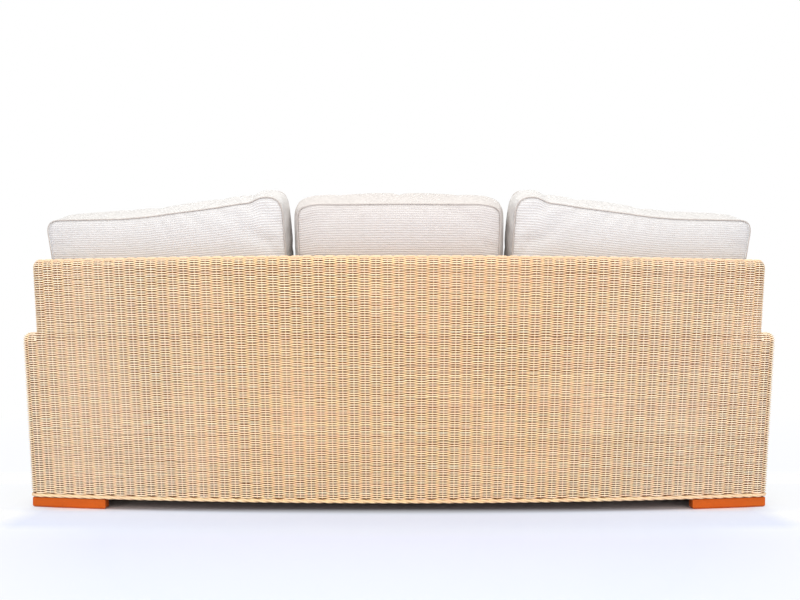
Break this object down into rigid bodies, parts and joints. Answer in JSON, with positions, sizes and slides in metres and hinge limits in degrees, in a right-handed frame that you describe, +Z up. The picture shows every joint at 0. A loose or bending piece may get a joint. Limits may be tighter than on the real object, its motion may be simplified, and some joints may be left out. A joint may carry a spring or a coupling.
{
  "type": "rattan garden sofa",
  "caption": "Woven rattan garden sofa with a bowed, raked back, low arms, loose boxed cushions and low corner feet.",
  "frame": {"origin": "middle of the bounding box at the floor, under the feet", "axes": "+X to the right as a sitter's front view sees it, +Y to the rear, +Z up"},
  "size_m": [2.164, 1.0195, 0.9114],
  "materials": {
    "reed": "woven natural core reed, satin",
    "rattan_pole": "peeled rattan pole",
    "hardwood": "sawn hardwood",
    "stained_wood": "orange stain under clear lacquer",
    "spring_steel": "drawn spring wire",
    "deck_felt": "pressed felt",
    "black_cloth": "thin non-woven cloth",
    "canvas": "cream basket weave with self piping"
  },
  "bodies": {
    "root": {"back_weave": "reed", "right_arm_weave": "reed", "left_arm_weave": "reed", "front_apron_weave": "reed", "back_border": "reed", "right_border": "reed", "left_border": "reed", "front_border": "reed", "front_right_foot": "stained_wood", "front_left_foot": "stained_wood", "rear_right_foot": "stained_wood", "rear_left_foot": "stained_wood", "rear_base_rail": "hardwood", "front_base_rail": "hardwood", "right_base_rail": "hardwood", "left_base_rail": "hardwood", "right_base_stretcher": "hardwood", "left_base_stretcher": "hardwood", "front_right_corner_block": "hardwood", "front_left_corner_block": "hardwood", "rear_right_corner_block": "hardwood", "rear_left_corner_block": "hardwood", "rear_seat_rail": "hardwood", "front_seat_rail": "hardwood", "right_seat_rail": "hardwood", "left_seat_rail": "hardwood", "back_top_rail": "rattan_pole", "right_arm_rail": "rattan_pole", "left_arm_rail": "rattan_pole", "right_front_post": "rattan_pole", "left_front_post": "rattan_pole", "right_rear_post": "rattan_pole", "left_rear_post": "rattan_pole", "left_back_upright": "rattan_pole", "centre_back_upright": "rattan_pole", "right_back_upright": "rattan_pole", "left_front_strut": "rattan_pole", "centre_front_strut": "rattan_pole", "right_front_strut": "rattan_pole", "seat_spring_1": "spring_steel", "seat_spring_2": "spring_steel", "seat_spring_3": "spring_steel", "seat_spring_4": "spring_steel", "seat_spring_5": "spring_steel", "seat_spring_6": "spring_steel", "seat_spring_7": "spring_steel", "seat_spring_8": "spring_steel", "deck_cloth": "deck_felt", "dust_cover": "black_cloth"},
    "left_seat_cushion_body": {"left_seat_cushion": "canvas"},
    "centre_seat_cushion_body": {"centre_seat_cushion": "canvas"},
    "right_seat_cushion_body": {"right_seat_cushion": "canvas"},
    "left_back_cushion_body": {"left_back_cushion": "canvas"},
    "centre_back_cushion_body": {"centre_back_cushion": "canvas"},
    "right_back_cushion_body": {"right_back_cushion": "canvas"}
  },
  "joints": [
    {"name": "left_seat_cushion_lift", "type": "slide", "parent": "root", "child": "left_seat_cushion_body", "axis": [0, 0, 1], "range_m": [0, 0.32]},
    {"name": "centre_seat_cushion_lift", "type": "slide", "parent": "root", "child": "centre_seat_cushion_body", "axis": [0, 0, 1], "range_m": [0, 0.32]},
    {"name": "right_seat_cushion_lift", "type": "slide", "parent": "root", "child": "right_seat_cushion_body", "axis": [0, 0, 1], "range_m": [0, 0.32]},
    {"name": "left_back_cushion_lift", "type": "slide", "parent": "root", "child": "left_back_cushion_body", "axis": [0, 0.1461, 0.9893], "range_m": [0, 0.5]},
    {"name": "centre_back_cushion_lift", "type": "slide", "parent": "root", "child": "centre_back_cushion_body", "axis": [0, 0.2317, 0.9728], "range_m": [0, 0.5]},
    {"name": "right_back_cushion_lift", "type": "slide", "parent": "root", "child": "right_back_cushion_body", "axis": [0, 0.1461, 0.9893], "range_m": [0, 0.5]}
  ]
}
